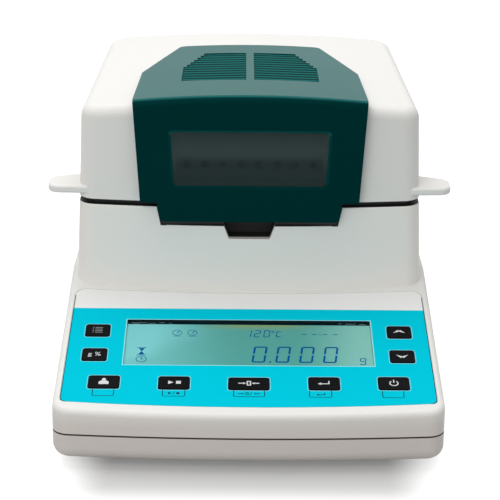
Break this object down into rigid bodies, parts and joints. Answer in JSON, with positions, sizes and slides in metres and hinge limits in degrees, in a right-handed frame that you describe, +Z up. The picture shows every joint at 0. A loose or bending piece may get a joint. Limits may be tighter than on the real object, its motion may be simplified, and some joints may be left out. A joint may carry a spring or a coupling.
{
  "type": "moisture analyzer",
  "caption": "Bench halogen moisture analyzer: hinged lid with louvred green hood and window, ring lamp, sample pan, sloped keypad panel with display.",
  "frame": {"origin": "on the table under the middle of the analyzer", "axes": "+X to the operator's right, +Y towards the back, +Z up"},
  "size_m": [0.234, 0.332, 0.1769],
  "materials": {
    "housing_lower": "fine moulded grain",
    "housing": "fine moulded grain",
    "hood_plastic": "smooth, semi-gloss",
    "overlay_film": "satin printed film",
    "display_glass": "polished",
    "display_face": "liquid crystal",
    "window_glass": "tinted, polished",
    "circuit_board": "solder mask",
    "lamination": "varnished",
    "black_plastic": "fine grain",
    "plated_steel": "plated",
    "silicone": "matte",
    "stainless": "brushed",
    "cell_aluminium": "milled",
    "pan_aluminium": "pressed foil",
    "dark_steel": "black",
    "heat_glass": "polished",
    "mirror_steel": "polished",
    "lamp_quartz": "clear quartz",
    "lamp_ceramic": "matt",
    "foot_rubber": "matt",
    "key_plastic": "satin"
  },
  "bodies": {
    "base": {"lower_shell": "housing_lower", "base_top_shell": "housing", "chamber_housing": "housing", "keypad_overlay": "overlay_film", "display_lens": "display_glass", "display_module": "display_face", "key_board": "circuit_board", "main_board": "circuit_board", "transformer": "lamination", "power_inlet": "black_plastic", "fuse_drawer": "black_plastic", "serial_port": "plated_steel", "chamber_lip": "silicone", "chamber_liner": "stainless", "draft_ring": "stainless", "load_cell": "cell_aluminium", "cell_bracket": "cell_aluminium", "hinge_bracket_left": "dark_steel", "hinge_bracket_right": "dark_steel", "notch_pocket": "silicone"},
    "levelling_foot_front_left": {"levelling_foot_front_left": "foot_rubber"},
    "levelling_foot_front_right": {"levelling_foot_front_right": "foot_rubber"},
    "levelling_foot_rear_left": {"levelling_foot_rear_left": "foot_rubber"},
    "levelling_foot_rear_right": {"levelling_foot_rear_right": "foot_rubber"},
    "key_menu": {"key_menu": "key_plastic"},
    "key_unit": {"key_unit": "key_plastic"},
    "key_up": {"key_up": "key_plastic"},
    "key_down": {"key_down": "key_plastic"},
    "key_calibrate": {"key_calibrate": "key_plastic"},
    "key_start": {"key_start": "key_plastic"},
    "key_tare": {"key_tare": "key_plastic"},
    "key_enter": {"key_enter": "key_plastic"},
    "key_power": {"key_power": "key_plastic"},
    "lid": {"lid_shell": "housing", "lid_ears": "housing", "hood": "hood_plastic", "window_glass": "window_glass", "lid_liner": "stainless", "liner_screws": "plated_steel", "lamp_glass": "heat_glass", "glass_retainer": "plated_steel", "reflector": "mirror_steel", "halogen_lamp": "lamp_quartz", "lamp_holders": "lamp_ceramic", "heat_shield": "stainless", "temperature_sensor": "plated_steel", "hinge_shaft": "plated_steel"},
    "pan_support": {"pan_support": "stainless"},
    "sample_pan": {"sample_pan": "pan_aluminium"},
    "pan_handler": {"pan_handler": "black_plastic"}
  },
  "joints": [
    {"name": "lid_hinge", "type": "hinge", "parent": "base", "child": "lid", "pos_m": [0, 0.152, 0.118], "axis": [-1, 0, 0], "range_deg": [0, 80]},
    {"name": "pan_handler_lift", "type": "slide", "parent": "base", "child": "pan_handler", "axis": [0, 0, 1], "range_m": [0, 0.006]},
    {"name": "sample_pan_lift", "type": "slide", "parent": "base", "child": "sample_pan", "axis": [0, 0, 1], "range_m": [0, 0.006]},
    {"name": "weighing_travel", "type": "slide", "parent": "base", "child": "pan_support", "axis": [0, 0, -1], "range_m": [0, 0.0004], "stiffness_N_per_m": 8000},
    {"name": "levelling_foot_front_left_turn", "type": "hinge", "parent": "base", "child": "levelling_foot_front_left", "pos_m": [-0.084, -0.128, 0], "axis": [0, 0, 1], "continuous": true},
    {"name": "levelling_foot_front_right_turn", "type": "hinge", "parent": "base", "child": "levelling_foot_front_right", "pos_m": [0.084, -0.128, 0], "axis": [0, 0, 1], "continuous": true},
    {"name": "levelling_foot_rear_left_turn", "type": "hinge", "parent": "base", "child": "levelling_foot_rear_left", "pos_m": [-0.084, 0.128, 0], "axis": [0, 0, 1], "continuous": true},
    {"name": "levelling_foot_rear_right_turn", "type": "hinge", "parent": "base", "child": "levelling_foot_rear_right", "pos_m": [0.084, 0.128, 0], "axis": [0, 0, 1], "continuous": true},
    {"name": "key_menu_press", "type": "slide", "parent": "base", "child": "key_menu", "axis": [0, 0.2132, -0.977], "range_m": [0, 0.0006], "stiffness_N_per_m": 600},
    {"name": "key_unit_press", "type": "slide", "parent": "base", "child": "key_unit", "axis": [0, 0.2132, -0.977], "range_m": [0, 0.0006], "stiffness_N_per_m": 600},
    {"name": "key_up_press", "type": "slide", "parent": "base", "child": "key_up", "axis": [0, 0.2132, -0.977], "range_m": [0, 0.0006], "stiffness_N_per_m": 600},
    {"name": "key_down_press", "type": "slide", "parent": "base", "child": "key_down", "axis": [0, 0.2132, -0.977], "range_m": [0, 0.0006], "stiffness_N_per_m": 600},
    {"name": "key_calibrate_press", "type": "slide", "parent": "base", "child": "key_calibrate", "axis": [0, 0.2132, -0.977], "range_m": [0, 0.0006], "stiffness_N_per_m": 600},
    {"name": "key_start_press", "type": "slide", "parent": "base", "child": "key_start", "axis": [0, 0.2132, -0.977], "range_m": [0, 0.0006], "stiffness_N_per_m": 600},
    {"name": "key_tare_press", "type": "slide", "parent": "base", "child": "key_tare", "axis": [0, 0.2132, -0.977], "range_m": [0, 0.0006], "stiffness_N_per_m": 600},
    {"name": "key_enter_press", "type": "slide", "parent": "base", "child": "key_enter", "axis": [0, 0.2132, -0.977], "range_m": [0, 0.0006], "stiffness_N_per_m": 600},
    {"name": "key_power_press", "type": "slide", "parent": "base", "child": "key_power", "axis": [0, 0.2132, -0.977], "range_m": [0, 0.0006], "stiffness_N_per_m": 600}
  ],
  "couplings": [
    {"joint": "sample_pan_lift", "follows": "pan_handler_lift", "ratio": 1}
  ]
}
